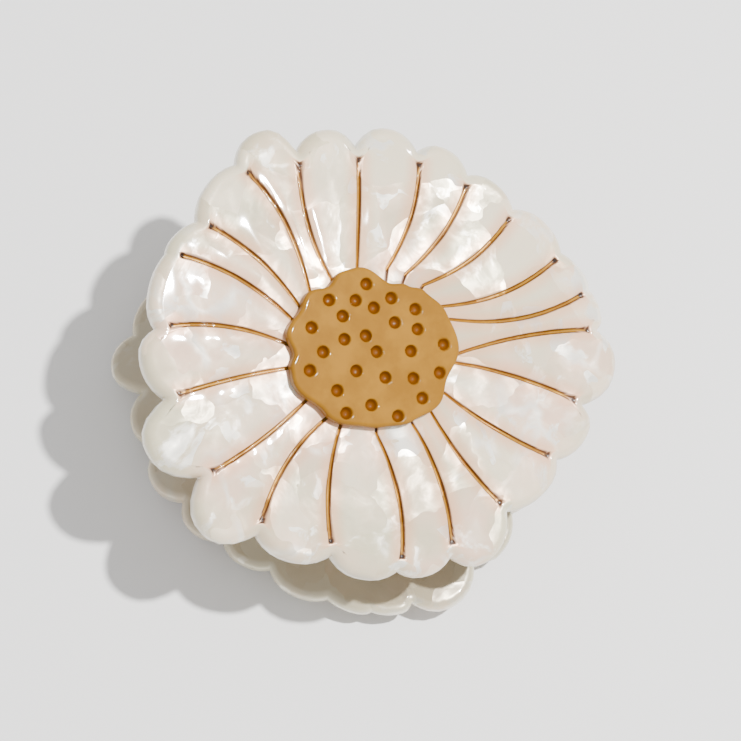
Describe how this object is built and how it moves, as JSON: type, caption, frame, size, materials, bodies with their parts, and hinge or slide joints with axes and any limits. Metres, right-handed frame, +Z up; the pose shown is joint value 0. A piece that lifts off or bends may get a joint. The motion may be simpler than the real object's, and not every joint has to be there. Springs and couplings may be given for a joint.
{
  "type": "flower claw hair clip",
  "caption": "Claw hair clip with two petalled marbled acetate flowers as jaws, lobed gold centres, toothed inner combs and a sprung metal hinge.",
  "frame": {"origin": "centre of the bounding box at its base: the plane of the back disc's flat face, which the clip lies on", "axes": "+X along the hinge pin, +Y towards the handle end, -Y towards the teeth, +Z up from the back flower to the front one"},
  "size_m": [0.069, 0.0676, 0.0432],
  "materials": {
    "pearl_acetate": "polished pearly marbled cream-white cellulose acetate, carved lines painted gold",
    "gold_acetate": "polished mustard-gold acetate",
    "comb_acetate": "polished cream acetate",
    "hinge_metal": "bright gold-plated stamped metal",
    "spring_steel": "plain spring wire"
  },
  "bodies": {
    "back_half": {"back_flower": "pearl_acetate", "back_centre": "gold_acetate", "back_claw_comb": "comb_acetate", "back_hinge_leaf": "hinge_metal", "back_rivet_1": "hinge_metal", "back_rivet_2": "hinge_metal", "hinge_pin": "hinge_metal", "torsion_spring": "spring_steel"},
    "front_half": {"front_flower": "pearl_acetate", "front_centre": "gold_acetate", "front_claw_comb": "comb_acetate", "front_hinge_leaf": "hinge_metal", "front_rivet_1": "hinge_metal", "front_rivet_2": "hinge_metal"}
  },
  "joints": [
    {"name": "jaw_hinge", "type": "hinge", "parent": "back_half", "child": "front_half", "pos_m": [0, 0.00427, 0.01858], "axis": [-1, 0, 0], "range_deg": [0, 42], "stiffness_Nm_per_rad": 0.02, "springref_deg": -45.84, "deforming": ["torsion_spring"]}
  ]
}
